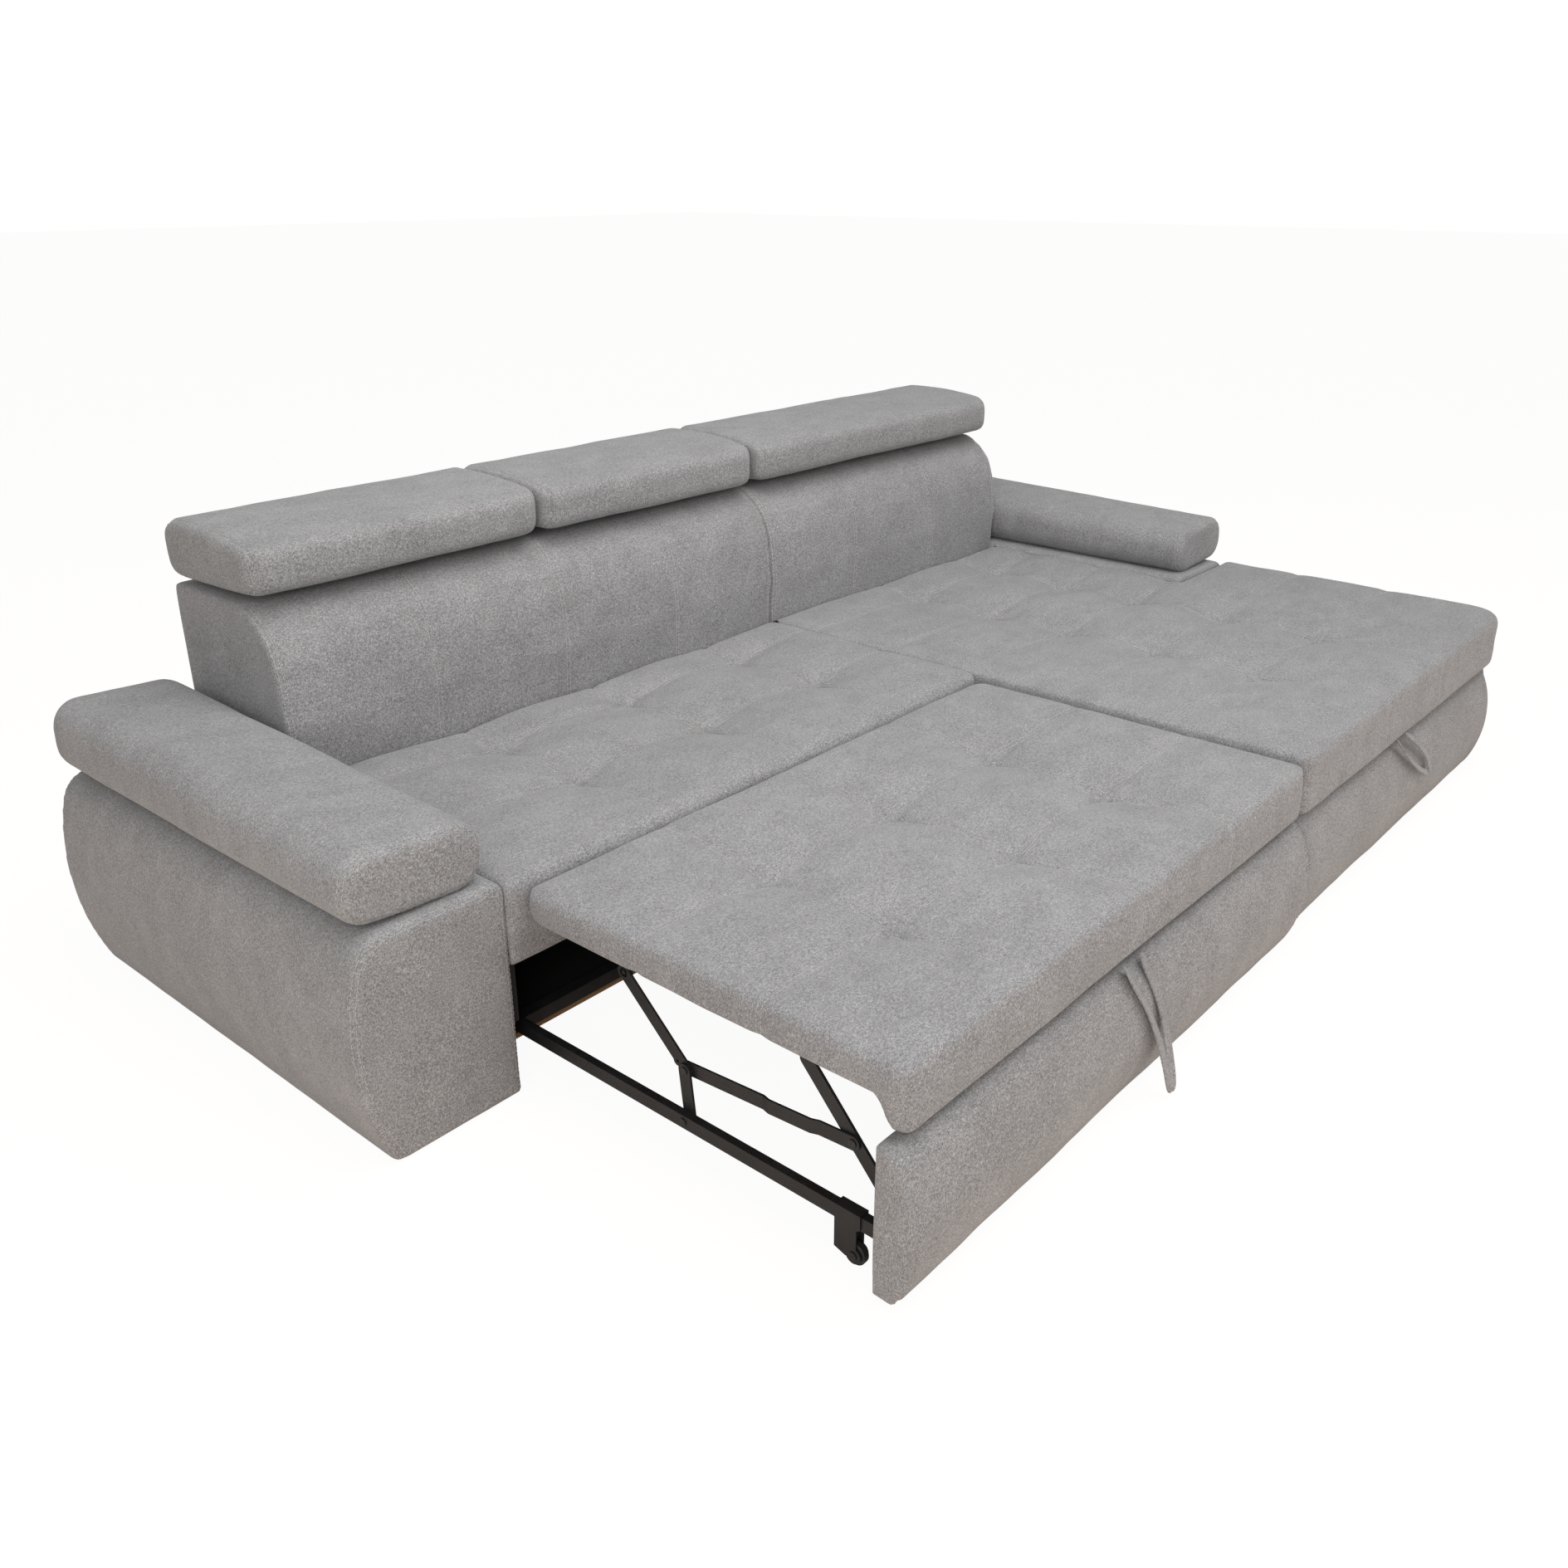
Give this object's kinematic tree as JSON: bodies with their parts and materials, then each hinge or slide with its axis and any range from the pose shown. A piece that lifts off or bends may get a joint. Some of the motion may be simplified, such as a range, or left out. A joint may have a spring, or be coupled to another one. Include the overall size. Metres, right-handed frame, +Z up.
{
  "type": "corner sofa bed",
  "caption": "Grey fabric corner sofa bed with its bed drawn out and raised, a chaise over a storage box, padded arms and folding headrests.",
  "frame": {"origin": "bottom centre of the bounding box, on the floor, with the bed drawn out and raised", "axes": "+X along the seat to the chaise end, +Z up, front faces -Y"},
  "size_m": [3.0562, 1.884, 0.875],
  "materials": {
    "upholstery": "short-pile grey chenille with paler double stitching",
    "webbing": "woven tape",
    "lining": "black non-woven lining",
    "timber": "raw planed pine",
    "panel_board": "raw chipboard",
    "black_steel": "satin black",
    "zinc_steel": "zinc plated",
    "black_plastic": "moulded"
  },
  "bodies": {
    "sofa": {"back_board_left": "upholstery", "back_board_right": "upholstery", "backrest_cushion_left": "upholstery", "backrest_cushion_right": "upholstery", "base_floor": "lining", "base_front_strip": "timber", "base_sides": "lining", "chaise_floor": "panel_board", "chaise_front_board": "panel_board", "chaise_front_cover": "upholstery", "chaise_rear_deck": "panel_board", "chaise_rear_rail": "panel_board", "chaise_return": "panel_board", "chaise_side_left": "panel_board", "chaise_side_rear": "panel_board", "chaise_side_right": "upholstery", "glides": "black_plastic", "headrest_brackets": "black_steel", "left_arm_base": "upholstery", "left_arm_pad": "upholstery", "lid_hinge_plates": "black_steel", "main_seat_cushion": "upholstery", "main_seat_frame": "timber", "right_arm_base": "upholstery", "right_arm_pad": "upholstery", "runner_channels": "black_steel", "seat_webbing": "webbing"},
    "pullout_frame": {"pullout_rails": "black_steel", "pullout_cross_tubes": "black_steel", "front_panel_board": "timber", "front_panel_cover": "upholstery", "runner_shoes": "black_plastic", "roller_brackets": "black_steel", "roller_axles": "zinc_steel", "rail_rivets": "zinc_steel", "front_link_ears": "black_steel"},
    "front_links": {"front_links": "black_steel", "coupler_rivets": "zinc_steel"},
    "lower_links": {"lower_links": "black_steel", "knee_rivets": "zinc_steel"},
    "upper_bars": {"upper_bars": "black_steel"},
    "coupler_bars": {"coupler_bars": "black_steel"},
    "bed": {"bed_battens": "timber", "bed_board": "panel_board", "bed_border": "upholstery", "bed_cushion": "upholstery", "link_brackets": "black_steel", "bed_pull_loop": "webbing"},
    "roller_left": {"roller_left": "black_plastic"},
    "roller_right": {"roller_right": "black_plastic"},
    "chaise_lid": {"lid_hinge_arms": "black_steel", "chaise_lid_board": "lining", "chaise_cushion": "upholstery", "chaise_pull_loop": "webbing"},
    "headrest_1": {"headrest_1_cushion": "upholstery", "headrest_1_frame": "panel_board"},
    "headrest_2": {"headrest_2_cushion": "upholstery", "headrest_2_frame": "panel_board"},
    "headrest_3": {"headrest_3_cushion": "upholstery", "headrest_3_frame": "panel_board"}
  },
  "joints": [
    {"name": "bed_lift", "type": "hinge", "parent": "pullout_frame", "child": "front_links", "pos_m": [-0.523, -0.806, 0.117], "axis": [-1, 0, 0], "range_deg": [0, 44], "deforming": ["bed_pull_loop"]},
    {"name": "bed_level", "type": "hinge", "parent": "front_links", "child": "bed", "pos_m": [-0.523, -0.6438, 0.29525], "axis": [-1, 0, 0], "range_deg": [-44, 0]},
    {"name": "lower_link_turn", "type": "hinge", "parent": "pullout_frame", "child": "lower_links", "pos_m": [-0.523, -0.409, 0.0825], "axis": [-1, 0, 0], "range_deg": [0, 44]},
    {"name": "upper_bar_turn", "type": "hinge", "parent": "lower_links", "child": "upper_bars", "pos_m": [-0.523, -0.3994, 0.1686], "axis": [-1, 0, 0], "range_deg": [0, 44]},
    {"name": "coupler_turn", "type": "hinge", "parent": "front_links", "child": "coupler_bars", "pos_m": [-0.523, -0.73593, 0.194], "axis": [-1, 0, 0], "range_deg": [-60, 0]},
    {"name": "frame_slide", "type": "slide", "parent": "sofa", "child": "pullout_frame", "axis": [0, -1, 0], "range_m": [0, 0.12]},
    {"name": "roller_left_spin", "type": "hinge", "parent": "pullout_frame", "child": "roller_left", "pos_m": [-1.1635, -0.762, 0.019], "axis": [-1, 0, 0], "continuous": true},
    {"name": "roller_right_spin", "type": "hinge", "parent": "pullout_frame", "child": "roller_right", "pos_m": [0.1175, -0.762, 0.019], "axis": [-1, 0, 0], "continuous": true},
    {"name": "chaise_lid_lift", "type": "hinge", "parent": "sofa", "child": "chaise_lid", "pos_m": [0.696, 0.57, 0.4], "axis": [-1, 0, 0], "range_deg": [0, 50]},
    {"name": "headrest_1_tilt", "type": "hinge", "parent": "sofa", "child": "headrest_1", "pos_m": [-0.875, 0.9, 0.798], "axis": [-1, 0, 0], "range_deg": [0, 75]},
    {"name": "headrest_2_tilt", "type": "hinge", "parent": "sofa", "child": "headrest_2", "pos_m": [-0.177, 0.9, 0.798], "axis": [-1, 0, 0], "range_deg": [0, 75]},
    {"name": "headrest_3_tilt", "type": "hinge", "parent": "sofa", "child": "headrest_3", "pos_m": [0.704, 0.9, 0.798], "axis": [-1, 0, 0], "range_deg": [0, 75]}
  ],
  "couplings": [
    {"joint": "bed_level", "follows": "bed_lift", "ratio": -1},
    {"joint": "lower_link_turn", "follows": "bed_lift", "ratio": 0.5614},
    {"joint": "upper_bar_turn", "follows": "bed_lift", "ratio": 0.5701},
    {"joint": "coupler_turn", "follows": "bed_lift", "ratio": -1.2214},
    {"joint": "frame_slide", "follows": "bed_lift", "m_per_rad": 0.15}
  ]
}
